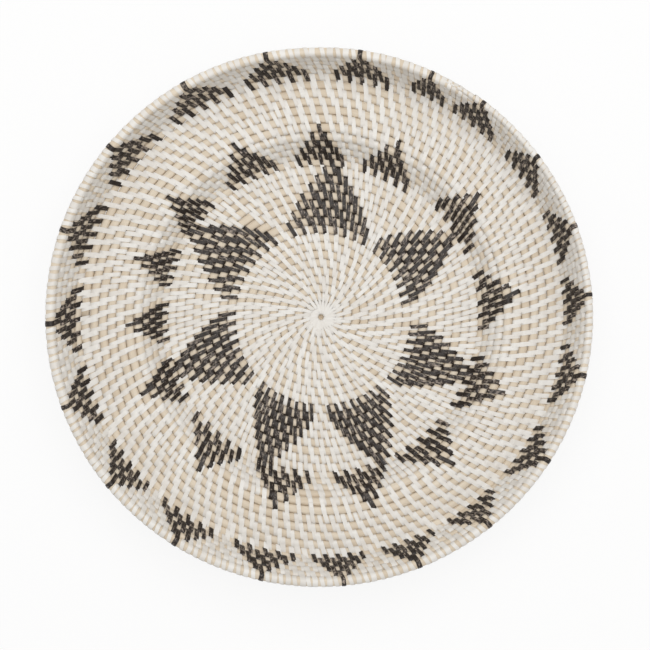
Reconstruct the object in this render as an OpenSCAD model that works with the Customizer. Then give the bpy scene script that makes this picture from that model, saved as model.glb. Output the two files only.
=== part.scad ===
// Coiled winnowing basket, shaped like a wide shallow plate.
// A vine rod is wound into a spiral: a flat well, a step up, a flat brim and a steep rim wall.
// Split strips lash each row to the row inside it, and dyed strips draw petals and darts.
// Frame: +Z up, millimetres, origin on the floor under the middle of the outline.

/* [Rod] */
// Thickness of the vine rod
rod_d = 5.35; // [4:0.05:7]
// Radius of the first loop, where the rod starts
start_r = 4.2; // [4:0.1:8]
// Depth of the flat worn along the underside of the well
foot_flat = 0.5; // [0.3:0.1:0.8]
// Length of the whittled point that ends the rod
tip_len = 36; // [15:1:45]
// Thickness of the rod at the end of that point
tip_d = 2; // [1:0.1:3]

/* [Profile] */
// Rows of rod across the flat well
well_rows = 17.5; // [16:0.5:22]
// Rows of rod up the step around the well, with its two bends
step_rows = 5.5; // [4:0.5:7]
// Rows of rod across the flat brim
brim_rows = 5; // [3:0.5:7]
// Rows of rod up the rim wall, with its bend and the edge row
wall_rows = 6.65; // [5.25:0.05:7]
// Slope of the step
step_angle = 52; // [35:1:65]
// Slope of the rim wall
wall_angle = 72; // [50:1:80]
// Radius of the bends between well, step, brim and wall
bend_r = 10; // [8:0.5:12]

/* [Lashing] */
// Thickness of a split strip
strip_t = 0.25; // [0.2:0.05:0.5]
// Room between a strip and the rods beside it
strip_room = 0.15; // [0.15:0.05:0.3]
// Width of a dyed strip in the pattern
strip_w = 2; // [1.5:0.1:2.1]
// Sideways lean of a stitch over one row
lean = 1.1; // [0.9:0.1:1.2]
// Width of a strip in the whipping of the edge row
edge_strip_w = 3.6; // [2:0.1:4]
// Distance from turn to turn of that whipping
edge_step = 5.1; // [4.5:0.1:8]
// Angle that one wrap takes up around the first loop
centre_wrap = 18; // [10:1:24]
// Angle left free between two of these wraps
centre_room = 2; // [1:1:4]

/* [Pattern] */
// Rows of rod inside the petals
petal_rows = 10.5; // [10:0.5:12]
// Stitches along the base of a petal
petal_base = 8; // [5:1:8]
// Stitches in a full row where the petals are
petal_count = 62; // [50:1:64]
// Rows of the step inside the petals' heads and the darts
dart_rows = 1.15; // [1:0.05:2]
// Stitches along the base of a petal's head or a dart
dart_base = 5; // [3:1:5]
// Stitches in a full row where the heads and darts are
dart_count = 80; // [72:1:90]
// Stitches in a full row on the rim wall
rim_count = 122; // [110:1:130]

/* [Hidden] */
$fn = 48;
// Distance from row to row: a rod, and a strip against each row with room on both its sides
row_pitch = rod_d + 2 * strip_t + 4 * strip_room;
// Height of the rod's middle in the well, above the floor
rod_z = rod_d / 2 - foot_flat;
// The rod is made in half turns; these are the first ones of the step, the brim and the wall
step_first = round(2 * well_rows);
brim_first = step_first + round(2 * step_rows);
wall_first = brim_first + round(2 * brim_rows);
// Turns of rod in the whole basket
turns = wall_first / 2 + wall_rows;
// Radius inside and outside a strip that wraps a rod
wrap_in = rod_d / 2 + strip_room;
wrap_out = wrap_in + strip_t;
// Lashings on the underside end this far above the floor
floor_room = 0.2;
// Lengths along the profile of the bends at the step and at the wall
step_bend = bend_r * step_angle * PI / 180;
wall_bend = bend_r * wall_angle * PI / 180;
// Stretches of the profile: length, slope where it starts, slope where it ends
profile = [
  [step_first * row_pitch / 2, 0, 0],
  [step_bend, 0, step_angle],
  [(brim_first - step_first) * row_pitch / 2 - 2 * step_bend, step_angle, step_angle],
  [step_bend, step_angle, 0],
  [(wall_first - brim_first) * row_pitch / 2, 0, 0],
  [wall_bend, 0, wall_angle],
  [wall_rows * row_pitch - wall_bend, wall_angle, wall_angle]
];
// Spliced lengths of rod in the well, on the step, in the brim and on the wall
well_lengths = 5;
step_lengths = brim_first - step_first;
brim_lengths = 3;
wall_lengths = ceil(2 * turns) - wall_first;
// Bearings of the petals at their base and at the tip of their head, anticlockwise from +X
petal_bearings = [[85, 91], [31, 39], [337, 338], [292, 285], [247, 256], [199, 203], [145, 142]];
// Bearings of the darts that stand between the petals
dart_bearings = [67, 8, 312, 231, 182, 162, 117];
// Bearings of the rim darts, and the stitches along the base of each
rim_darts = [
  [81, 5], [66, 4], [52, 5], [36, 5], [19, 5], [4, 5], [347, 5], [327, 5], [309, 5], [291, 5],
  [274, 5], [256, 5], [237, 5], [218, 5], [199, 5], [181, 5], [161, 5], [141, 5], [120, 5], [101, 5]
];
// Rim darts that share a node
darts_per_group = 4;
rim_groups = ceil(len(rim_darts) / darts_per_group);
// Colours of the peeled rod, of the pale strips and of the dyed ones
vine = "#c9b79b";
pale = "#e6e0d6";
dyed = "#352d28";

// A vector of length 1 in the direction of v
function unit(v) = v / norm(v);

// Lengths of rod are set out to a hundredth of a millimetre
function set_out(v) = round(v * 100) / 100;

// End of one stretch of the profile that starts at q, after a length s of it
function stretch(q, s, slope, slope_end) =
  slope == slope_end ? q + s * [cos(slope), sin(slope)]
  : let (r = s / ((slope_end - slope) * PI / 180))
    q + r * [sin(slope_end) - sin(slope), cos(slope) - cos(slope_end)];

// Point of the profile, as radius and height, after a length s of rows
function along(s, k = 0, q = [start_r, 0]) =
  let (p = profile[k])
  s <= p[0] || k == len(profile) - 1
  ? stretch(q, s, p[1], p[1] + (p[2] - p[1]) * min(1, s / p[0]))
  : along(s - p[0], k + 1, stretch(q, p[0], p[1], p[2]));

// Point where half turn i starts: on -X for even ones and on +X for odd ones
function row_end(i) =
  let (q = along(i * row_pitch / 2))
  [(i % 2 == 0 ? -1 : 1) * set_out(q[0]), 0, set_out(q[1])];

// Middle, radius, tilt and first bearing of the arc that half turn i follows
function arc_mid(i) = (row_end(i) + row_end(i + 1)) / 2;
function arc_r(i) = norm(row_end(i) - row_end(i + 1)) / 2;
function arc_tilt(i) = asin((row_end(i) - arc_mid(i))[2] / arc_r(i));
function arc_bearing(i) = i % 2 == 0 ? 180 : 0;

// Point on the middle of the rod after t turns
function on_rod(t) =
  let (i = floor(2 * t), a = 180 * (2 * t - i), r = arc_r(i), e = arc_tilt(i), side = i % 2 == 0 ? -1 : 1)
  arc_mid(i) + r * [side * cos(a) * cos(e), side * sin(a), cos(a) * sin(e)];

// Points taken on one turn where the rod is measured
turn_points = 72;
// The outline's middle, from points along the last two turns
outline = [for (k = [0:2 * turn_points]) on_rod(turns - k / turn_points)];
mid_x = set_out((max([for (p = outline) p[0]]) + min([for (p = outline) p[0]])) / 2);
mid_y = set_out((max([for (p = outline) p[1]]) + min([for (p = outline) p[1]])) / 2);

// Least gap between one row and the next
row_gaps = [
  for (k = [0:turn_points * (turns - 1)])
    norm(on_rod(k / turn_points + 1) - on_rod(k / turn_points)) - rod_d
];
echo(least_gap_between_rows = min(row_gaps));

// Part of a turn at which a bearing comes, counted from -X
function part_turn(bearing) = ((bearing + 180) % 360) / 360;
// Turns of rod at the first row past some turns, and at the edge row, on a bearing
function row_past(t, bearing) = ceil(t - part_turn(bearing)) + part_turn(bearing);
function edge_turn(bearing) = floor(turns - part_turn(bearing)) + part_turn(bearing);
// Places of the stitches in row j of a triangle that loses one stitch a row, counted from its axis.
// Each row is half a stitch off the row before, and the axis drifts by so many stitches a row.
function triangle_row(j, base, drift) = [
  for (k = [-base:base])
    let (place = k + (base - 1 + j) % 2 / 2, off = place - drift * j)
    if (off >= (j - base) / 2 && off < (base - j) / 2) place
];
// Turns of rod at all the stitches of such a triangle
function triangle(first, base, count, drift = 0) = [
  for (j = [0:base - 1]) for (place = triangle_row(j, base, drift)) first + j + place / count
];
// Turns of rod inside the petals' heads and the darts
dart_start = step_first / 2 + dart_rows;
// Sideways lean of a stitch as an angle
tilt = atan(lean / row_pitch);
// Length of the edge row, and the wraps of its whipping that fit in it
edge_len = 2 * PI * norm(on_rod(turns));
edge_wraps = floor(edge_len / edge_step);
// Turns of rod at the stems of the rim darts, and at the wraps that stay clear of them
stems = [for (d = rim_darts) edge_turn(d[0])];
stem_room = (edge_strip_w + strip_w / cos(tilt)) / 2 + lean + strip_room;
edge_turns = [
  for (k = [1:edge_wraps - 2])
    let (t = turns - k / edge_wraps)
    if (min([for (s = stems) abs(t - s)]) * edge_len > stem_room) t
];

// Moves the coil from its own axis to the frame of the basket
module placed() {
  translate([-mid_x, -mid_y, rod_z]) children();
}

// Half turn i of the rod, or the first part of it
module half_turn(i, part = 1) {
  translate(arc_mid(i))
    rotate([0, -arc_tilt(i), arc_bearing(i)])
      rotate_extrude(angle = 180 * part)
        translate([arc_r(i), 0]) circle(d = rod_d);
}

// Everything under the floor
module floor_slab() {
  side = 4 * start_r + 4 * turns * row_pitch;
  translate([-side / 2, -side / 2, -rod_d]) cube([side, side, rod_d]);
}

// One length of rod in the well, worn flat underneath; the lengths are about equally long
module well_rod(k) {
  from = round(step_first * sqrt((k - 1) / well_lengths));
  to = round(step_first * sqrt(k / well_lengths)) - 1;
  color(vine) difference() {
    placed() for (i = [from:to]) half_turn(i);
    floor_slab();
  }
}

// One length of rod on the step, half a turn; the lowest are worn flat with the well
module step_rod(k) {
  i = step_first + k - 1;
  low = row_end(i)[2] < foot_flat;
  color(vine) difference() {
    placed() half_turn(i);
    if (low) floor_slab();
  }
}

// One length of rod on the brim
module brim_rod(k) {
  n = wall_first - brim_first;
  from = brim_first + round(n * (k - 1) / brim_lengths);
  to = brim_first + round(n * k / brim_lengths) - 1;
  color(vine) placed() for (i = [from:to]) half_turn(i);
}

// One length of rod on the rim wall, half a turn; the last one stops where the rod ends
module wall_rod(k) {
  i = wall_first + k - 1;
  color(vine) placed() half_turn(i, min(1, 2 * turns - i));
}

// Whittled point in which the rod ends, bent down to the row inside it
module rod_tip() {
  start = on_rod(turns);
  under = on_rod(turns - 1 + tip_len / edge_len);
  up = unit(under - on_rod(turns - 2 + tip_len / edge_len));
  end = under + up * (row_pitch - (rod_d - tip_d) / 2);
  ahead = unit(end - start);
  // The point starts where its slanting butt clears the end of the rod
  butt = rod_d / 2 * norm(cross(ahead, unit(start - on_rod(turns - 1 / edge_len))));
  color(vine) placed() translate(start + butt * ahead)
    rotate([0, acos(ahead[2]), atan2(ahead[1], ahead[0])])
      cylinder(d1 = rod_d, d2 = tip_d, h = norm(end - start) - butt);
}

// Outline of two rods whose middles are apart, swelled to radius r
module pair_outline(apart, r) {
  translate([-apart / 2, -r]) square([apart, 2 * r]);
  translate([-apart / 2, 0]) circle(r = r);
  translate([apart / 2, 0]) circle(r = r);
}

// Everything below the lashings' lowest level, in a section that slopes and whose middle is z high
module section_floor(slope, z) {
  side = 4 * row_pitch;
  rotate(-slope) translate([-side / 2, floor_room - rod_z - z - side]) square(side);
}

// One stitch after t turns: a band round this row and the row inside it, leaning sideways
module stitch(t) {
  inner = on_rod(t - 1);
  outer = on_rod(t);
  across = outer - inner;
  middle = (inner + outer) / 2;
  apart = norm(across);
  slope = asin(across[2] / apart);
  reach = row_pitch + 2 * wrap_out;
  translate(middle) rotate([0, -slope, atan2(across[1], across[0])]) intersection() {
    rotate([90, 0, 0]) linear_extrude(height = reach, center = true) difference() {
      pair_outline(apart, wrap_out);
      pair_outline(apart, wrap_in);
      if (middle[2] < wrap_out) section_floor(slope, middle[2]);
    }
    rotate([0, 0, tilt]) cube([2 * reach, strip_w, reach], center = true);
  }
}

// One petal with its arrow head, in dyed strip; single stitches make a neck up to the head's first row
module petal_lashing(k) {
  b = petal_bearings[k - 1];
  first = row_past(petal_rows, b[0]);
  drift = (b[1] - b[0]) / 360 * petal_count / petal_base;
  neck = first + petal_base - 1 + triangle_row(petal_base - 1, petal_base, drift)[0] / petal_count;
  neck_rows = max(1, ceil(dart_start - neck));
  neck_turns = [for (j = [1:neck_rows]) neck + j + j % 2 / 2 / dart_count];
  head = neck_turns[neck_rows - 1];
  color(dyed) placed() {
    for (t = triangle(first, petal_base, petal_count, drift)) stitch(t);
    for (t = neck_turns) if (t < head) stitch(t);
    for (t = triangle(head, dart_base, dart_count)) stitch(t);
  }
}

// One dart between two petals, in dyed strip
module dart_lashing(k) {
  first = row_past(dart_start, dart_bearings[k - 1]);
  color(dyed) placed() for (t = triangle(first, dart_base, dart_count)) stitch(t);
}

// Neighbouring darts on the rim wall, whose stems go over the edge, in dyed strip
module rim_lashing(k) {
  from = (k - 1) * darts_per_group;
  to = min(len(rim_darts), k * darts_per_group) - 1;
  color(dyed) placed() for (n = [from:to])
    for (t = triangle(edge_turn(rim_darts[n][0]) - rim_darts[n][1] + 1, rim_darts[n][1], rim_count))
      stitch(t);
}

// Pale whipping round the edge row
module edge_whipping() {
  color(pale) placed() for (t = edge_turns)
    let (ahead = on_rod(t) - on_rod(t - 1))
    translate(on_rod(t)) rotate([90, 0, atan2(ahead[1], ahead[0])])
      linear_extrude(height = edge_strip_w, center = true) difference() {
        circle(r = wrap_out);
        circle(r = wrap_in);
      }
}

// Pale wraps round the first loop, like rays from the middle
module centre_lashing() {
  per_half = floor(180 / (centre_wrap + centre_room));
  color(pale) placed() for (i = [0:1]) for (k = [0:per_half - 1])
    translate(arc_mid(i))
      rotate([0, 0, arc_bearing(i) + (k + 0.5) * 180 / per_half - centre_wrap / 2])
        rotate_extrude(angle = centre_wrap) translate([arc_r(i), 0]) difference() {
          circle(r = wrap_out);
          circle(r = wrap_in);
          section_floor(0, 0);
        }
}

for (k = [1:well_lengths]) well_rod(k);
for (k = [1:step_lengths]) step_rod(k);
for (k = [1:brim_lengths]) brim_rod(k);
for (k = [1:wall_lengths]) wall_rod(k);
rod_tip();
centre_lashing();
edge_whipping();
for (k = [1:len(petal_bearings)]) petal_lashing(k);
for (k = [1:len(dart_bearings)]) dart_lashing(k);
for (k = [1:rim_groups]) rim_lashing(k);
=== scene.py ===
# %% [markdown]
# # A coiled winnowing basket
# The basket is one long vine rod wound into a spiral and sewn to itself with split strips. Every
# surface below is a numpy function of the turns of rod, so the rod and its lashings share one
# spiral, and that spiral is the one the solid model was built on.

import bpy
import numpy as np
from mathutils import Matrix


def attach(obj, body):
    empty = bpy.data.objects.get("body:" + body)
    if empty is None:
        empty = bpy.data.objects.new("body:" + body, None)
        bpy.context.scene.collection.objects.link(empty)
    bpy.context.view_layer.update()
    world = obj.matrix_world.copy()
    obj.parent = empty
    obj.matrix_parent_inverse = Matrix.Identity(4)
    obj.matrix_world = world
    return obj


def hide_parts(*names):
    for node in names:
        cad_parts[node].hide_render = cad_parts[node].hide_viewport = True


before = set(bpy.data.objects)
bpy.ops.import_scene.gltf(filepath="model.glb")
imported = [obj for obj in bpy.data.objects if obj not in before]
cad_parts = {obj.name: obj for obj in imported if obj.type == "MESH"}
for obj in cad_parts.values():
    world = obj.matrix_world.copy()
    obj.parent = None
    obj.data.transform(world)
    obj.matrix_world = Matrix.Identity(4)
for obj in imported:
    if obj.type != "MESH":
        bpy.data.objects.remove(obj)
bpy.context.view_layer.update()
NODES = sorted(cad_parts)

# %% [markdown]
# ## The spiral
# From above, the middle of the rod moves outward by one row for every turn. Seen in section, the rows
# follow a profile: a flat well, a step up, a flat brim and a steep rim wall, with a round bend at
# each change. A spiral curve object could carry the rod, but every stitch also needs its own place on
# it, so the spiral is a function of the turns. The slope is known at every length of the profile, and
# adding up its cosine and sine gives the radius and the height. A bend is then two numbers in a list.

# %% Profile
ROW = 6.45                       # mm from one row to the next
TURNS = 34.65                    # turns of rod, counted from -X
START_R = 4.2                    # mm, radius of the first loop
BEND = 10.0                      # mm, radius of the bends
STEP_SLOPE, WALL_SLOPE = np.radians([52.0, 72.0])
WELL_END, STEP_END, BRIM_END = 17.5, 23.0, 28.0    # turns at which each part ends
FINE = 0.05                      # mm between the points at which the profile is added up
bend_places = ROW * np.array([0, WELL_END, WELL_END, STEP_END, STEP_END, BRIM_END, BRIM_END, TURNS + 2])
bend_places += BEND * np.array([0, 0, STEP_SLOPE, -STEP_SLOPE, 0, 0, WALL_SLOPE, 0])
bend_slopes = np.array([0, 0, STEP_SLOPE, STEP_SLOPE, 0, 0, WALL_SLOPE, WALL_SLOPE])
lengths = np.arange(0, bend_places[-1], FINE)
slopes = np.interp(lengths, bend_places, bend_slopes)
radii = START_R + np.concatenate([[0], np.cumsum(np.cos(slopes[:-1]) * np.diff(lengths))])
heights = np.concatenate([[0], np.cumsum(np.sin(slopes[:-1]) * np.diff(lengths))])
print("brim at a height of", round(np.interp(BRIM_END * ROW, lengths, heights), 1), "mm")

# %% Spiral
AXIS = np.array([-0.49, 0.5, 2.6])   # middle of the coil and height of the rod's middle in the well, mm
TIP_LENGTH, RIM_R = 36, 194          # mm; the whittled tip, and the radius that it lies at
TIP_TURNS = TIP_LENGTH / (2 * np.pi * RIM_R)
SUNK_AT = TURNS - 0.4, TURNS, TURNS + TIP_TURNS    # turns between which the rod's end sinks
SUNK_BY = 0.0, 0.2, 0.65                           # rows that it has sunk by there
OVAL = 1.4                           # mm that the rim is longer along X and shorter along Y
OVAL_FROM, OVAL_OVER = 143, 53       # mm; the radius past which it is oval, and the way over which that grows
BULGE = 1.6                          # mm that the wall bulges out on the +Y side and in on the -Y side
SWAY = np.array([-1.4, 0.4, 0.0])    # mm that the top of the wall stands off to one side
DENT, DENT_CLOCK, DENT_WIDE = 1.0, 357.0, 13.0     # mm, degrees, degrees: where the rim is pushed in


def rows(turn):
    """Rows from the middle after so many turns. It equals the turns, until the rod thins near its end and
    sinks towards the row inside, slowly at first and then along the tip."""
    return np.asarray(turn) - np.interp(turn, SUNK_AT, SUNK_BY)


def clock_angle(turn):
    """Clock angle of the rod after so many turns, in degrees clockwise from +Y: it starts at 270, on -X,
    and goes back by 360 in a turn."""
    return (270 - 360 * np.asarray(turn)) % 360


def coil(turn):
    """Middle of the rod after so many turns, in mm: the profile's radius and height at rows times the row,
    at a bearing of half a turn plus the turns. Brim and wall are drawn to an oval, and the wall is uneven:
    a half wave up the wall times the cosine of the clock angle, a small dent and a sway to one side."""
    s = rows(turn) * ROW
    r, z = np.interp(s, lengths, radii), np.interp(s, lengths, heights)
    bearing, clock = 2 * np.pi * (np.asarray(turn) + 0.5), clock_angle(turn)
    oval = OVAL * np.clip((r - OVAL_FROM) / OVAL_OVER, 0, 1) ** 2
    up_wall = np.clip((np.asarray(turn) - BRIM_END) / (TURNS - BRIM_END), 0, 1)
    r = r + BULGE * np.sin(np.pi * up_wall) * np.cos(np.radians(clock))
    r = r - DENT * up_wall * np.exp(-(((clock - DENT_CLOCK + 180) % 360 - 180) / DENT_WIDE) ** 2)
    round_axis = np.stack([(r + oval) * np.cos(bearing), (r - oval) * np.sin(bearing), z], -1)
    return AXIS + round_axis + up_wall[..., None] * SWAY


def unit(v):
    """The vectors in v, each divided by its length."""
    return v / np.linalg.norm(v, axis=-1, keepdims=True)


print("edge of the coil at", np.round(coil(TURNS), 1), "mm")

# %% [markdown]
# ## Meshes from arrays
# Every piece here is a grid: rings of points along a path. Bevelled curves could draw such shapes too, but
# thousands of them are slow to make, and a bevel keeps one section from end to end. So one function
# turns a stack of grids into a mesh, closes each ring on itself and caps or closes the ends, and stores
# any number that the material reads later, such as the length along a strip.

# %% Mesh helper
MM = 0.001          # m


def grid_faces(grids, rings, ring, loop):
    """Corner numbers of the quads in a stack of grids. A quad joins two neighbours in one ring to the
    same two in the next. With loop the last ring joins the first, and otherwise both ends stay open."""
    i = np.arange(rings if loop else rings - 1)[:, None] * ring
    j = np.arange(ring)[None, :]
    after = i + ring if not loop else (i + ring) % (rings * ring)
    quad = np.stack([i + j, i + (j + 1) % ring, after + (j + 1) % ring, after + j], -1).reshape(-1, 4)
    return (np.arange(grids)[:, None, None] * rings * ring + quad).reshape(-1, 4)


def piece(name, points, loop, material, nodes, numbers, strip=False):
    """A mesh object from points of shape (grids, rings, ring, 3) in mm, with a cap on each open end. It rides
    on the basket, stands for the named solid nodes, and keeps each array in numbers as an attribute of its
    points. A strip has a sharp edge along the first and the last point of its rings, as a split strip has."""
    grids, rings, ring = points.shape[:3]
    faces = grid_faces(grids, rings, ring, loop)
    polygons = faces.tolist()
    if not loop:
        polygons += [list(range(ring))[::-1], list(range((rings - 1) * ring, rings * ring))]
    mesh = bpy.data.meshes.new(name)
    mesh.from_pydata(points.reshape(-1, 3) * MM, [], polygons)
    mesh.polygons.foreach_set("use_smooth", np.arange(len(polygons)) < len(faces))
    ends = np.empty(2 * len(mesh.edges), np.int32)
    mesh.edges.foreach_get("vertices", ends)
    start, end = ends.reshape(-1, 2).T % ring
    mesh.edges.foreach_set("use_edge_sharp", strip & (start == end) & ((start == 0) | (start == ring - 1)))
    for key, values in numbers.items():
        vector = values.shape[-1] == 3 and values.ndim == points.ndim
        attribute = mesh.attributes.new(key, "FLOAT_VECTOR" if vector else "FLOAT", "POINT")
        attribute.data.foreach_set("vector" if vector else "value", values.astype(np.float32).ravel())
    mesh.materials.append(material)
    obj = bpy.data.objects.new(name, mesh)
    bpy.context.scene.collection.objects.link(obj)
    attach(obj, "root")
    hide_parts(*nodes)
    print(f"{name}: {grids} grids, {len(polygons)} faces, {len(nodes)} solid nodes")
    return obj


print("faces on a closed loop of 18 rings of 3 points:", len(grid_faces(1, 18, 3, True)))

# %% [markdown]
# ## Materials
# Three finishes make the whole basket: the peeled vine rod, the split strip left in its own pale
# colour, and the same strip dyed dark. Each is a plant fibre, so each has fine streaks that run along
# its length, a satin face, and a tone of its own from piece to piece. A picture of fibres would have to
# be laid out on every strip and would repeat, so the streaks are noise. It reads an attribute that holds
# millimetres along and across the strip, so the streaks follow every bend. Real fibres are too fine for
# the render, so the streaks are drawn coarser, to show.

# %% Colour and node helpers
def linear(hex_colour):
    """Linear RGBA of an sRGB hex value."""
    c = np.array([int(hex_colour[k:k + 2], 16) for k in (1, 3, 5)]) / 255
    return (*np.where(c <= 0.04045, c / 12.92, ((c + 0.055) / 1.055) ** 2.4), 1.0)


def node(material, kind, inputs=None, **settings):
    """Adds a shader node to a material or world, with settings, and links or sets its inputs by name or
    number."""
    tree = material.node_tree
    made = tree.nodes.new(kind)
    for key, value in settings.items():
        setattr(made, key, value)
    for key, value in (inputs or {}).items():
        if isinstance(value, bpy.types.NodeSocket):
            tree.links.new(value, made.inputs[key])
        else:
            made.inputs[key].default_value = value
    return made


print("middle grey in linear light:", round(linear("#808080")[0], 3))

# %% Plant-fibre finishes
FIBRE_IOR = 1.4            # dry fibre is porous, so it mirrors a little less than solid cellulose at 1.47
STREAK_MM = 20.0           # mm, length of a streak
NOISE_ENDS = 0.3, 0.7      # levels between which nearly all of a noise lies
GLOSS_ENDS = -0.08, 0.1    # how much smoother and rougher the streaks are than the mean
RELIEF = 0.0002            # m, height of the streaks' relief


def fibre(name, light, dark, streak, tone_share, roughness, bump, fibre_mm,
          patch_mm=(12.5, 4.0), ramp_ends=(0.22, 0.78)):
    """A plant-fibre finish. Its colour runs from dark to light, between two levels of a mix: a noise drawn
    out along the fibre, fibre_mm wide, a noise of patches of patch_mm along and across, and the tone of
    each piece. The first noise also gives the bump and varies the gloss."""
    material = bpy.data.materials.new(name)
    material.use_nodes = True
    material.node_tree.nodes.clear()
    place = node(material, "ShaderNodeAttribute", attribute_name="fibre_place").outputs["Vector"]
    tone = node(material, "ShaderNodeAttribute", attribute_name="tone").outputs["Fac"]
    drawn = node(material, "ShaderNodeMapping",
                 {"Vector": place, "Scale": (1 / STREAK_MM, 1 / fibre_mm, 1.0)})
    streaks = node(material, "ShaderNodeTexNoise",
                   {"Vector": drawn.outputs[0], "Scale": 1.0, "Detail": 3.0, "Roughness": 0.6})
    patch = node(material, "ShaderNodeMapping",
                 {"Vector": place, "Scale": (1 / patch_mm[0], 1 / patch_mm[1], 1.0)})
    patches = node(material, "ShaderNodeTexNoise", {"Vector": patch.outputs[0], "Scale": 1.0, "Detail": 2.0})
    both = node(material, "ShaderNodeMix", {0: streak, 2: patches.outputs[0], 3: streaks.outputs[0]})
    level = node(material, "ShaderNodeMix", {0: tone_share, 2: both.outputs[0], 3: tone})
    ramp = node(material, "ShaderNodeValToRGB", {0: level.outputs[0]})
    ramp.color_ramp.elements[0].position, ramp.color_ramp.elements[1].position = ramp_ends
    ramp.color_ramp.elements[0].color, ramp.color_ramp.elements[1].color = linear(dark), linear(light)
    gloss = node(material, "ShaderNodeMapRange",
                 {0: streaks.outputs[0], 1: NOISE_ENDS[0], 2: NOISE_ENDS[1],
                  3: roughness + GLOSS_ENDS[0], 4: roughness + GLOSS_ENDS[1]})
    relief = node(material, "ShaderNodeBump",
                  {"Height": streaks.outputs[0], "Strength": bump, "Distance": RELIEF})
    shader = node(material, "ShaderNodeBsdfPrincipled", {
        "Base Color": ramp.outputs[0], "Roughness": gloss.outputs[0],
        "Normal": relief.outputs[0], "IOR": FIBRE_IOR})
    node(material, "ShaderNodeOutputMaterial", {0: shader.outputs[0]})
    return material


# Vine: peeled and dried, a matt warm tan with darker lengths where bark was left on.
VINE = fibre("peeled_vine_rod", "#e6dbc9", "#c8b69e", 0.45, 0.25, 0.62, 0.5, 0.5)
# Split strip: shaved to its pale core, close to white with a silky face.
PALE = fibre("split_pale_strip", "#ebe9e5", "#d8d2ca", 0.45, 0.45, 0.55, 0.35, 0.35)
# Dyed strip: the same strip boiled in a dark bath, brown-black with a satin gloss. Its pale flecks of
# a millimetre or two are painted highlights, put into its colour for the glints that the fibres catch.
DYED = fibre("dyed_dark_strip", "#aa9c90", "#1c120b", 0.15, 0.15, 0.38, 0.8, 0.35, (2.6, 1.5), (0.53, 0.7))
print("materials:", [m.name for m in (VINE, PALE, DYED)])

# %% [markdown]
# ## The vine rod
# The rod is a tube carried along the spiral. A bevelled curve could draw it, but the curve settles by itself
# how its section turns on the way. So the section is set out in the plane of the profile, spanned by the
# direction across the rows and the direction out of the basket's face. In the well the underside is worn
# flat where it stands. The rod is a plant stem, so its thickness and its tone waver along its length.

# %% Rod section
ROD_R = 3.2         # mm; fuller than the solid rod, which leaves room for its strips, so the rows touch
THINNEST = 0.4      # mm, radius at the end of the tip
FULLER = 2.6        # power of the rod's section; 2 is a circle, and pressed rows are a little squarer
NUDGE = 1e-4        # turns to each side, over which the tangent is taken


def rod_frame(turn):
    """Along, across and out-of-face directions of the rod: along is its tangent, across points to the
    row outside, and out is square to both, upwards."""
    along = unit(coil(turn + NUDGE) - coil(turn - NUDGE))
    radial = coil(turn) - AXIS
    slope = np.interp(rows(turn) * ROW, lengths, slopes)[..., None]
    radial[..., 2] = 0
    across = unit(radial) * np.cos(slope) + np.array([0, 0, 1.0]) * np.sin(slope)
    return along, across, unit(np.cross(across, along))


def rod_radius(turn):
    """Radius of the rod: what the row inside leaves of the room between the two rows' middles."""
    return np.clip(ROW * (rows(turn) - rows(turn - 1)) - ROD_R, THINNEST, ROD_R)


def section(angle):
    """A rod's section of radius one, across and out of the face: cosine and sine of an angle, each raised
    to two over FULLER with its sign kept."""
    return [np.sign(c) * np.abs(c) ** (2 / FULLER) for c in (np.cos(angle), np.sin(angle))]


print("radius of the rod, on the brim and at its tip:",
      rod_radius(np.array([BRIM_END, TURNS + TIP_TURNS])).round(2), "mm")

# %% Vine rod
ROD_SIDES, RINGS_PER_TURN = 16, 130
FLOOR_FLAT = 0.35                                    # mm; the rod's worn underside, above the floor
ROD_START = 0.75                                     # turns; the cushion hides what lies before
THIN_FROM, THIN_OVER, THIN_LEAST = 0.55, 0.4, 0.5    # turns, turns and share: the rod starts thin
WAVER = (0.008, 17, 0), (0.006, 6.1, 2)              # waves in the thickness: height, mm to a radian, phase
MEAN_TONE = 0.5
MOTTLE = (0.22, 41, 0), (0.18, 13.7, 1)              # waves in the tone, likewise
PART_APART = 900                                     # mm a turn, so that no two parts share their streaks


def waves(mm, kinds):
    """Sum of sine waves at millimetres along the rod, each of a height, a length and a phase."""
    return sum(height * np.sin(mm / length + phase) for height, length, phase in kinds)


def rod_tube(start, end):
    """Tube round the spiral from start to end turns: middle plus radius times the section. The radius
    wavers by 1%, as a stem does. Also returns millimetres along and round the rod, and its tone."""
    turn = np.linspace(start, end, int((end - start) * RINGS_PER_TURN) + 2)
    along, across, out = rod_frame(turn)
    middle = coil(turn)
    steps = np.linalg.norm(np.diff(middle, axis=0, prepend=middle[:1]), axis=1)
    mm_along = np.cumsum(steps) + start * PART_APART
    thin = np.clip((turn - THIN_FROM) / THIN_OVER, THIN_LEAST, 1)
    radius = rod_radius(turn) * (1 + waves(mm_along, WAVER)) * thin
    angle = 2 * np.pi * np.arange(ROD_SIDES) / ROD_SIDES
    side, rise = section(angle)
    ring = side[None, :, None] * across[:, None] + rise[None, :, None] * out[:, None]
    points = middle[:, None] + radius[:, None, None] * ring
    points[..., 2] = np.maximum(points[..., 2], FLOOR_FLAT)
    place = np.stack(np.broadcast_arrays(mm_along[:, None], (angle * ROD_R)[None, :], start), -1)
    tone = MEAN_TONE + waves(mm_along, MOTTLE)
    return points[None, :, ::-1], place[None, :, ::-1], np.repeat(tone[None, :, None], ROD_SIDES, 2)


def of_kind(*starts):
    """Names of the solid nodes that begin with one of the given words."""
    return [n for n in NODES if n.startswith(starts)]


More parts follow.
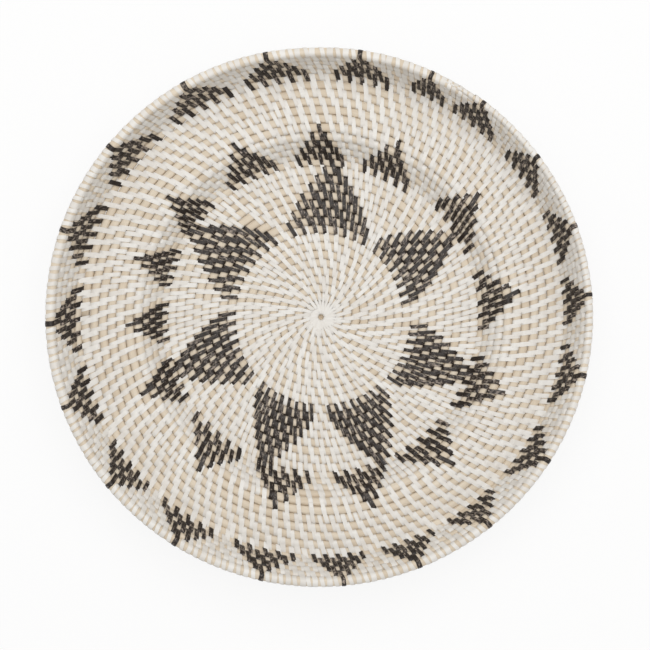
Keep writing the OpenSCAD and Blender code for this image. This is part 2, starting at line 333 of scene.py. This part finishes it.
rod_parts = {"well": (ROD_START, WELL_END), "step": (WELL_END, STEP_END), "brim": (STEP_END, BRIM_END),
             "wall": (BRIM_END, TURNS + TIP_TURNS)}
for part, (start, end) in rod_parts.items():
    points, place, tone = rod_tube(start, end)
    nodes = of_kind(part + "_rod") + (["rod_tip"] if part == "wall" else [])
    piece("vine_rod_" + part, points, False, VINE, nodes, {"fibre_place": place, "tone": tone})

# %% [markdown]
# ## Where the stitches sit
# Each stitch goes round one row and the row inside it. The dyed stitches are counted into triangles,
# one stitch fewer on each row: eight-row petals, their arrow heads, the darts between them, and twenty
# darts on the rim. Equal triangles would need two numbers only, but they are counted by hand and differ
# in width, so each has its own clock angles, in degrees clockwise from +Y. The pale stitches fill the
# rest, spread evenly between one dyed stitch and the next. The number in a turn is never whole, so every
# row sits some two fifths of a stitch off the row before, as in the real sewing.

# %% Dyed stitches
PETAL_START, DART_START, EDGE_START = 10.5, 18.65, TURNS - 1     # turns past which each motif starts
PETAL_ROWS, DART_ROWS = 8, 5
# Clock angles of a petal's first and last base stitch, its neck and the spacing there
PETALS = ((341.8, 389.0, 364.5, 5.4), (38.3, 79.3, 58.6, 5.7), (95.2, 131.0, 111.7, 4.5),
          (140.2, 174.8, 156.8, 4.3), (185.2, 219.9, 201.3, 4.4), (230.0, 271.2, 250.3, 5.0),
          (282.0, 327.8, 304.0, 5.3))
# Clock angles of the first and last base stitch and of the tip: the petals' heads, then the free darts
HEADS = ((351.8, 367.7, 359.8), (46.3, 65.3, 52.6), (104.6, 123.4, 113.3), (157.8, 174.6, 165.2),
         (184.9, 202.8, 193.9), (239.5, 254.0, 247.0), (302.2, 315.4, 308.5))
DARTS = ((16.2, 32.8, 24.0), (75.2, 94.0, 83.1), (131.1, 150.7, 139.0), (211.0, 231.0, 219.5),
         (261.7, 274.2, 267.9), (281.8, 294.5, 288.2), (325.8, 343.1, 333.6))
# Clock angles of the rim darts' tips, and the spacing of their stitches
RIM_DARTS = ((9.4, 3.0), (25.1, 2.4), (37.6, 2.7), (54.0, 2.8), (70.6, 2.8), (86.0, 2.5), (103.3, 3.2),
             (123.1, 3.1), (141.5, 2.9), (158.6, 2.8), (175.2, 2.8), (192.8, 3.4), (212.5, 3.3), (231.3, 3.1),
             (250.5, 3.1), (268.8, 3.4), (289.3, 3.4), (310.0, 3.5), (330.4, 3.4), (349.2, 3.3))
RIM_STITCHES = [5, 4] + [5] * 18      # along the base of each
RIM_LEAN = 0.5                        # degrees from a tip to the middle of its base
HAIR = 0.01                           # turns early that a rim dart's base is looked for, lest it be missed


def turn_past(clock, start):
    """Turns of rod at the first row that lies past start turns, at a clock angle."""
    part = ((270 - clock) % 360) / 360
    return np.ceil(start - part) + part


def triangle(start, first, last, tip, count, tip_spacing=None):
    """Turns at the stitches of a triangle, and the spacing at each in degrees. Row k has count - k
    stitches; their middle and their spacing move evenly from the base row's to the tip's."""
    middle, spacing = (first + last) / 2, (last - first) / (count - 1)
    base = turn_past(middle, start)
    share = np.arange(count) / (count - 1)
    middles = middle + (tip - middle) * share
    spacings = spacing + ((tip_spacing or spacing) - spacing) * share
    k, place = np.nonzero(np.tri(count)[::-1])
    off = spacings[k] * (place - (count - k - 1) / 2)
    return np.stack([base + k + (middle - middles[k] - off) / 360, spacings[k]])


petals = [triangle(PETAL_START, a, b, neck, PETAL_ROWS, spacing) for a, b, neck, spacing in PETALS]
heads = [triangle(DART_START, a, b, tip, DART_ROWS) for a, b, tip in HEADS]
# Single stitches carry a petal's neck on where its last row ends short of the head
necks = [np.stack([t := np.arange(petal[0, -1] + 1, head[0, DART_ROWS // 2] - 0.5),
                   np.full(len(t), head[1, 0])]) for petal, head in zip(petals, heads)]
darts = [triangle(DART_START, a, b, tip, DART_ROWS) for a, b, tip in DARTS]
rims = [triangle(turn_past(c, EDGE_START) - n + 1 - HAIR, c + RIM_LEAN - spacing * (n - 1) / 2,
                 c + RIM_LEAN + spacing * (n - 1) / 2, c, n)
        for (c, spacing), n in zip(RIM_DARTS, RIM_STITCHES)]
dyed_turns = np.sort(np.concatenate(petals + necks + heads + darts + rims, 1)[0])
print("dyed stitches:", len(dyed_turns))

# %% [markdown]
# The pale stitches are the field round the pattern. A turn near the middle is short and holds few of them,
# and a turn on the wall holds many. Each could get a place of its own, like the dyed ones, but there are
# too many, and a maker too sews the field by eye and counts only the pattern. So a short list gives
# their number in a turn, and they are spread by it.

# %% Pale stitches
# Stitches in a turn of rod, from the first turn given on; the fractions set each row off the row before
PER_TURN = ((0.0, 28.6), (1.8, 20.6), (4.6, 33.6), (6.9, 44.6), (8.8, 53.6), (10.3, 60.6), (13.0, 73.6),
            (16.0, 82.6), (23.0, 106.6), (25.0, 113.6), (28.5, 118.6))
CLOSER, CLOSER_CLOCK, CLOSER_WIDE = 0.32, 58.0, 28.0    # share, degrees, degrees: closer on brim and wall
FIRST_STITCH = 0.85                                     # turns
COUNT_POINTS = 20001                # points along the rod at which the stitches are added up
# A patch where strips have been lost: the turns it lies between, some turns in it, and the clock angles
# between which the rod is bare there
BARE_START, BARE_END = 11.5, 15.3
BARE_TURNS = (11.86, 12.86, 13.86, 14.86)
BARE_FROM, BARE_TO = (325.0, 321.5, 317.5, 319.5), (329.5, 327.5, 326.0, 325.5)


def rate_at(turn):
    """Stitches in a turn of rod at the given turns. On brim and wall a bell curve of the clock angle, less
    its own mean, makes them closer on one side and leaves the number in a turn as it is."""
    starts, rates = np.array(PER_TURN).T
    bell = np.exp(-((clock_angle(turn) - CLOSER_CLOCK) / CLOSER_WIDE) ** 2)
    bell = bell - CLOSER_WIDE * np.pi ** 0.5 / 360
    return rates[np.searchsorted(starts, turn, "right") - 1] * (1 + CLOSER * bell * (turn > STEP_END))


def spread(ends):
    """Turns at stitches spread evenly over every gap between two neighbours in ends. The stitches in a
    gap are counted by adding up the stitches per turn over it, and rounding."""
    fine = np.linspace(0, TURNS + 1, COUNT_POINTS)
    counted = np.concatenate([[0], np.cumsum(rate_at(fine[:-1]) * np.diff(fine))])
    at = np.interp(ends, fine, counted)
    number = np.concatenate([[0], np.cumsum(np.maximum(np.round(np.diff(at)), 1))])
    between = np.setdiff1d(np.arange(number[-1]), number)
    return np.interp(np.interp(between, number, at), counted, fine)


pale_turns = spread(np.concatenate([[FIRST_STITCH], dyed_turns, [TURNS + TIP_TURNS]]))
clock = clock_angle(pale_turns)
bare = ((pale_turns > BARE_START) & (pale_turns < BARE_END)
        & (clock > np.interp(pale_turns, BARE_TURNS, BARE_FROM))
        & (clock < np.interp(pale_turns, BARE_TURNS, BARE_TO)))
pale_turns = pale_turns[~bare]
print("pale stitches:", len(pale_turns), "lost:", int(bare.sum()))

# %% [markdown]
# ## The lashings
# A stitch is a flat strip bent round two rods: a closed loop in the plane of the profile that leans a
# little along the rod, so its outer end sits beside the inner end of a stitch in the next row. It dips
# between the two rods, where nothing carries it. A flat ribbon would have fewer faces, but no thickness and
# no crown to catch the light. So the section has three points, a raised middle and two edges that lie
# close to the rod, and a stitch has only 54 faces.

# %% Lashing loops
STRIP_T = 0.42      # mm from the rod to the crown of a strip
STRIP_EDGE = 0.28   # mm from the rod to the edges of a strip
DIP = 0.3           # mm that a strip sinks between its two rods
TOP = np.array([-0.5, -0.25, 0.0, 0.25, 0.5])          # places of the rings over the top, as shares
TOP_DIP = DIP * np.array([0.0, 0.6, 1.0, 0.6, 0.0])
SIDE = np.radians([64.0, 39.0, 13.0, -15.0, -52.0])    # angles of the rings down a rod's side
UNDER = np.array([0.5, 0.0, -0.5])
UNDER_DIP = DIP * np.array([0.0, 1.0, 0.0])


def loop_path(apart, inner_r, outer_r):
    """Loop round two rods, as distance across and height, of shape (stitches, 18): along the top from the
    inner crest to the outer one, down the outer side, back along the underside and up the inner side."""
    apart, inner_r, outer_r = apart[:, None], inner_r[:, None], outer_r[:, None]
    side, rise = section(SIDE)
    x = np.concatenate([apart * TOP, apart / 2 + outer_r * side,
                        apart * UNDER, -apart / 2 - inner_r * side[::-1]], 1)
    z = np.concatenate([inner_r + (outer_r - inner_r) * (TOP + 0.5) - TOP_DIP, outer_r * rise,
                        UNDER_DIP - inner_r - (outer_r - inner_r) * (UNDER + 0.5), inner_r * rise[::-1]], 1)
    return x, z


one_loop = np.stack(loop_path(*np.array([[ROW], [ROD_R + STRIP_T], [ROD_R + STRIP_T]])), -1)
print("one loop is", np.linalg.norm(one_loop - np.roll(one_loop, 1, 1), axis=-1).sum().round(1), "mm long")

# %% Strips
HALVES = np.array([-0.5, 0.0, 0.5])     # edge, crown and edge, as shares of the width
OVER = 0.2          # mm that a strip's inner end lies higher, and its outer end lower
LEAN_END = 0.9      # rows from the pair's middle past which a strip leans no further
EDGE_FLOOR = 0.12   # mm above the floor at which a strip's edges end
STRIP_APART = 37    # mm a turn, so that no two strips share their streaks


def lashing(turn, inner, inner_r, width, lean, lift=0.0):
    """Strips round the rods at the given turns and inner ones at the points given, of shape (stitches, 18,
    3, 3). Each point is the pair's middle, plus the loop's distance across and height out of the face,
    plus the strip's half width and its lean along the rod. A lift raises the whole loop off its rods.
    Also returns millimetres along and across each strip."""
    outer, outer_r = coil(turn), rod_radius(turn)
    apart = np.linalg.norm(outer - inner, axis=1)
    across = unit(outer - inner)
    along = rod_frame(turn)[0]
    along = unit(along - across * np.sum(along * across, 1, keepdims=True))
    out = np.cross(across, along)
    half = HALVES * width[:, None, None]
    low, high = (loop_path(apart, inner_r + t + lift, outer_r + t + lift) for t in (STRIP_EDGE, STRIP_T))
    x, z = (np.stack([a, b, a], 2) for a, b in zip(low, high))
    outward = np.clip(x / apart[:, None, None], -LEAN_END, LEAN_END)
    y = half + lean[:, None, None] * outward
    z = z - OVER * outward * np.sign(z)
    points = (inner + outer)[:, None, None] / 2 + sum(
        d[..., None] * way[:, None, None] for d, way in ((x, across), (y, along), (z, out)))
    points[..., 2] = np.maximum(points[..., 2], np.array([EDGE_FLOOR, 0.0, EDGE_FLOOR]))
    steps = np.linalg.norm(np.diff(points[:, :, 1], axis=1, prepend=points[:, :1, 1]), axis=2)
    place = np.broadcast_arrays(np.cumsum(steps, 1)[..., None], half, (turn * STRIP_APART)[:, None, None])
    return points[:, :, ::-1], np.stack(place, -1)[:, :, ::-1]


print("the crown of a strip stands", STRIP_T, "mm off its rods")

# %% Sewing
chance = np.random.default_rng(7)    # with a seed, so that every run sews the same basket
WIDER, LEAN = 0.21, 0.17        # shares of a stitch's spacing that add to its width, and that it leans by
UNEVEN_WIDTH, UNEVEN_LEAN, UNEVEN_PLACE = 0.06, 0.12, 0.04    # shares by which a stitch's own values waver
STITCH_TONES = 0.2, 0.8         # darkest and lightest tone of a stitch


def sew(name, turn, degrees, base_width, lift, material, slot, nodes):
    """A piece made of the stitches at the given turns, that many degrees apart. The width is a base plus a
    share of that spacing in mm and the lean a share of it; each stitch wavers in place, width and tone."""
    spacing = np.radians(degrees) * np.interp((turn - 0.5) * ROW, lengths, radii)
    width = (base_width + WIDER * spacing) * (1 + UNEVEN_WIDTH * chance.standard_normal(len(turn)))
    lean = LEAN * spacing * (1 + UNEVEN_LEAN * chance.standard_normal(len(turn)))
    moved = turn + chance.standard_normal(len(turn)) * UNEVEN_PLACE * degrees / 360
    points, place = lashing(moved, coil(moved - 1), rod_radius(moved - 1), width, lean, lift)
    tone = np.broadcast_to(chance.uniform(*STITCH_TONES, len(turn))[:, None, None], points.shape[:3])
    return piece(name, points, True, material, nodes, {"fibre_place": place, "tone": tone}, strip=True)


RAYS_END = 1.8              # turns; before them the stitches are the centre's rays
# Turns between which each part's pale stitches lie, and the base of their width in mm
PALE_PARTS = {"well": (RAYS_END, WELL_END, 1.45), "step": (WELL_END, STEP_END, 1.45),
              "brim": (STEP_END, BRIM_END, 1.4), "wall": (BRIM_END, TURNS + 1, 1.8)}
DYED_WIDTH, RIM_DYED_WIDTH = 1.12, 1.3    # mm; base of a dyed strip's width, in the pattern and on the rim
DYED_LIFT, EDGE_LIFT = 0.5, 0.2           # mm a dyed strip lies above a pale one, there and on the edge row
for part, (start, end, base_width) in PALE_PARTS.items():
    turn = pale_turns[(pale_turns >= start) & (pale_turns < end)]
    sew("pale_lashing_" + part, turn, 360 / rate_at(turn), base_width, 0.0, PALE, "pale_strip", [])
for k, motif in enumerate(zip(petals, necks, heads), 1):
    sew(f"petal_lashing_{k}_dyed", *np.concatenate(motif, 1), DYED_WIDTH, DYED_LIFT, DYED, "dyed_strip",
        [f"petal_lashing_{k}"])
for k, dart in enumerate(darts, 1):
    sew(f"dart_lashing_{k}_dyed", *dart, DYED_WIDTH, DYED_LIFT, DYED, "dyed_strip", [f"dart_lashing_{k}"])
rim_turns, rim_degrees = np.concatenate(rims, 1)
rim_lift = np.where(rim_turns > EDGE_START, EDGE_LIFT, DYED_LIFT)
sew("rim_lashing_dyed", rim_turns, rim_degrees, RIM_DYED_WIDTH, rim_lift, DYED, "dyed_strip",
    of_kind("rim_lashing"))

# %% [markdown]
# ## The middle
# The coil starts as a tight ring wrapped over and over, so the middle is a small pale cushion with a
# dimple, and strips run out from it like rays to the first turns of rod. At the bottom of the dimple the
# cut butt of the rod shows, in the vine's darkest colour as painted shade. A flattened ball would give
# the cushion but not its dimple. So cushion and butt are closed profiles carried round the axis, and a
# hair of a hole is left in the middle, so no face shrinks to a point there.

# %% Centre cushion and rays
# Radius and height over the rod's middle, from the dimple over the top and back along the underside, mm
CUSHION = np.array([[0.2, -2.3], [1.9, -2.2], [2.0, -0.8], [2.2, 0.6], [2.6, 1.5], [3.4, 2.2], [4.6, 2.65],
                    [5.8, 2.7], [6.8, 2.45], [8.2, 2.2], [10.0, 2.0], [11.6, 1.8], [12.4, 0.6], [12.4, -1.0],
                    [10.4, -2.2], [0.2, -2.45]])
# The butt of the rod at the bottom of the dimple, likewise
BUTT = np.array([[0.2, -2.05], [1.2, -1.95], [1.8, -1.9], [1.95, -2.1], [1.0, -2.25], [0.2, -2.25]])
CUSHION_TONE = 0.6
BUTT_SHADE_TONE = -1.5                  # a low tone that takes the vine's darkest colour: painted shade at the bottom of the dimple
RAY_TONES = 0.3, 0.8              # darkest and lightest tone of a ray
RING_R, RING_ROD_R = 4.6, 2.2     # mm; the first ring of rod, inside the cushion, which the rays go round
RAY_WIDTH, RAY_LEAN = 1.9, 0.6    # mm, and the share of its width that a ray leans by
UNEVEN_RAY = 0.08                 # share by which a ray's width wavers
TURNED_SIDES = 96
TURNED_MM = 9.0                   # mm to a radian for the fibres that run round


def turned(profile):
    """Surface of revolution: each point of the profile goes round the axis at its radius and height. Also
    returns millimetres out from the axis and round it."""
    u = 2 * np.pi * np.arange(TURNED_SIDES)[:, None] / TURNED_SIDES
    r, z = profile[None, :, 0], profile[None, :, 1]
    points = AXIS + np.stack(np.broadcast_arrays(r * np.cos(u), r * np.sin(u), z), -1)
    place = np.stack(np.broadcast_arrays(r, TURNED_MM * u, 0.0), -1)
    return points[None], place[None]


points, place = turned(CUSHION)
piece("centre_cushion_pale", points, True, PALE, ["centre_lashing"],
      {"fibre_place": place, "tone": np.full(points.shape[:3], CUSHION_TONE)})
points, place = turned(BUTT)
piece("rod_butt_painted_shade", points, True, VINE, [],
      {"fibre_place": place, "tone": np.full(points.shape[:3], BUTT_SHADE_TONE)})
ray_turns = pale_turns[pale_turns < RAYS_END]
ring_points = AXIS + RING_R * unit(coil(ray_turns) - AXIS)
ray_width = RAY_WIDTH * (1 + UNEVEN_RAY * chance.standard_normal(len(ray_turns)))
ring_rods = np.full(len(ray_turns), RING_ROD_R)
points, place = lashing(ray_turns, ring_points, ring_rods, ray_width, RAY_LEAN * ray_width)
tone = np.broadcast_to(chance.uniform(*RAY_TONES, len(ray_turns))[:, None, None], points.shape[:3])
piece("centre_rays_pale", points, True, PALE, [],
      {"fibre_place": place, "tone": tone}, strip=True)

# %% [markdown]
# ## The edge
# On the last row an extra wrap goes round the edge between every two stitches, so the rim is whipped
# all round and feels smooth. One long helix could be the whipping, but it would drift away from the
# stitches. So each wrap is a loop round one rod, whose place along the rod slides as it goes round, on the
# same slant as the stitches.

# %% Edge whipping
EDGE_WIDTH, EDGE_SLANT = 3.1, 2.0     # mm; width of a wrap, and how far it slides along over the top
EDGE_SHIFT = 1.5                      # mm along from midway, since the stitches lean that far on the edge
EDGE_TONES = 0.3, 0.9                 # darkest and lightest tone of a wrap
WRAP_RINGS = 14


def whipping(turn):
    """Wraps round the edge row: middle plus radius times the rod's section, plus half the width, a shift
    and a slant that goes with the sine, of shape (wraps, WRAP_RINGS, 3, 3)."""
    along, across, out = (d[:, None, None] for d in rod_frame(turn))
    angle = 2 * np.pi * np.arange(WRAP_RINGS)[None, :, None, None] / WRAP_RINGS
    radius = rod_radius(turn)[:, None, None, None] + np.array([STRIP_EDGE, STRIP_T, STRIP_EDGE])[:, None]
    side = (HALVES * EDGE_WIDTH)[:, None]
    over, rise = section(angle)
    points = (coil(turn)[:, None, None] + radius * (over * across + rise * out)
              + (side + EDGE_SHIFT - EDGE_SLANT / 2 * np.sin(angle)) * along)
    place = np.broadcast_arrays((angle * ROD_R)[..., 0], side[:, 0], (turn * STRIP_APART)[:, None, None])
    return points, np.stack(place, -1)


edge_stitches = np.sort(np.concatenate([pale_turns, dyed_turns]))
edge_stitches = edge_stitches[edge_stitches > EDGE_START]
edge_turns = (edge_stitches[1:] + edge_stitches[:-1]) / 2
points, place = whipping(edge_turns)
tone = np.broadcast_to(chance.uniform(*EDGE_TONES, len(edge_turns))[:, None, None], points.shape[:3])
piece("edge_whipping_pale", points, True, PALE, ["edge_whipping"],
      {"fibre_place": place, "tone": tone}, strip=True)

# %% [markdown]
# ## Camera, floor and light
# The photograph looks straight down on the basket from about a metre. Its background is plain white,
# so the floor is a pale sheet that also glows white to the camera, while its own shading keeps the
# basket's soft shadow. More light would whiten the sheet too, but it would bleach the pale strips. One
# large soft lamp hangs over the top edge and an even sky fills the rest.

# %% Camera
PHOTO = 650                                # pixels along each side of the photograph
FOCAL = 1304                               # pixels
SENSOR = 36.0                              # mm
CAMERA_AT = 0.0026, -0.0056, 1.0006        # m, looking straight down
camera = bpy.data.objects.new("camera", bpy.data.cameras.new("camera"))
camera.data.sensor_width = SENSOR
camera.data.lens = SENSOR * FOCAL / PHOTO
camera.location = CAMERA_AT
bpy.context.scene.collection.objects.link(camera)
bpy.context.scene.camera = camera
print("camera at", CAMERA_AT, "lens", round(camera.data.lens, 1))

# %% Floor
FLOOR_HALF = 40.0                          # m; far enough that no view from above shows the floor's edge
FLOOR_DROP = 0.0004                        # m that the floor lies under the basket
PAPER_GLOW = 0.85                          # share of the sheet that is plain white to the eye


def seen_as(tree_owner, unseen, seen):
    """A number that is seen on rays from the camera, off a gloss or through glass, and unseen on others."""
    rays = node(tree_owner, "ShaderNodeLightPath").outputs
    eye = rays["Is Camera Ray"]
    for other in ("Is Glossy Ray", "Is Transmission Ray"):
        eye = node(tree_owner, "ShaderNodeMath", {0: eye, 1: rays[other]}, operation="MAXIMUM").outputs[0]
    return node(tree_owner, "ShaderNodeMapRange", {0: eye, 3: unseen, 4: seen}).outputs[0]


floor_mesh = bpy.data.meshes.new("floor")
corners = np.array([[-1, -1, 0], [1, -1, 0], [1, 1, 0], [-1, 1, 0]]) * FLOOR_HALF + [0, 0, -FLOOR_DROP]
floor_mesh.from_pydata(corners, [], [[0, 1, 2, 3]])
floor = bpy.data.objects.new("floor", floor_mesh)
bpy.context.scene.collection.objects.link(floor)
# Paper: a matt white sheet without a grain, which takes the shadow.
PAPER = bpy.data.materials.new("white_paper_sheet")
PAPER.use_nodes = True
PAPER.node_tree.nodes.clear()
matt = node(PAPER, "ShaderNodeBsdfDiffuse", {"Color": linear("#f4f4f4")})
glow = node(PAPER, "ShaderNodeEmission", {"Color": (1, 1, 1, 1), "Strength": 1.0})
mixed = node(PAPER, "ShaderNodeMixShader",
             {0: seen_as(PAPER, 0.0, PAPER_GLOW), 1: matt.outputs[0], 2: glow.outputs[0]})
node(PAPER, "ShaderNodeOutputMaterial", {0: mixed.outputs[0]})
floor_mesh.materials.append(PAPER)
print("floor", 2 * FLOOR_HALF, "m across")

# %% Light
SKY_LIGHT, SKY_SEEN = 0.6, 1.0             # strength of the sky as light, and as a white background
LAMP_SIZE, LAMP_WATTS = 1.2, 10.6          # m, W
LAMP_AT = 0.05, 0.35, 1.3                  # m
world = bpy.data.worlds.new("even_sky")
bpy.context.scene.world = world
world.use_nodes = True
world.node_tree.nodes.clear()
sky = node(world, "ShaderNodeBackground",
           {"Color": linear("#fbfaf8"), "Strength": seen_as(world, SKY_LIGHT, SKY_SEEN)})
node(world, "ShaderNodeOutputWorld", {0: sky.outputs[0]})
lamp = bpy.data.objects.new("window_lamp", bpy.data.lights.new("window_lamp", "AREA"))
lamp.data.shape, lamp.data.size, lamp.data.energy = "SQUARE", LAMP_SIZE, LAMP_WATTS
lamp.location = LAMP_AT
lamp.rotation_euler = (-lamp.location).to_track_quat("-Z", "Y").to_euler()
bpy.context.scene.collection.objects.link(lamp)
bpy.context.scene.view_settings.view_transform = "Standard"
print("lamp", LAMP_WATTS, "W")
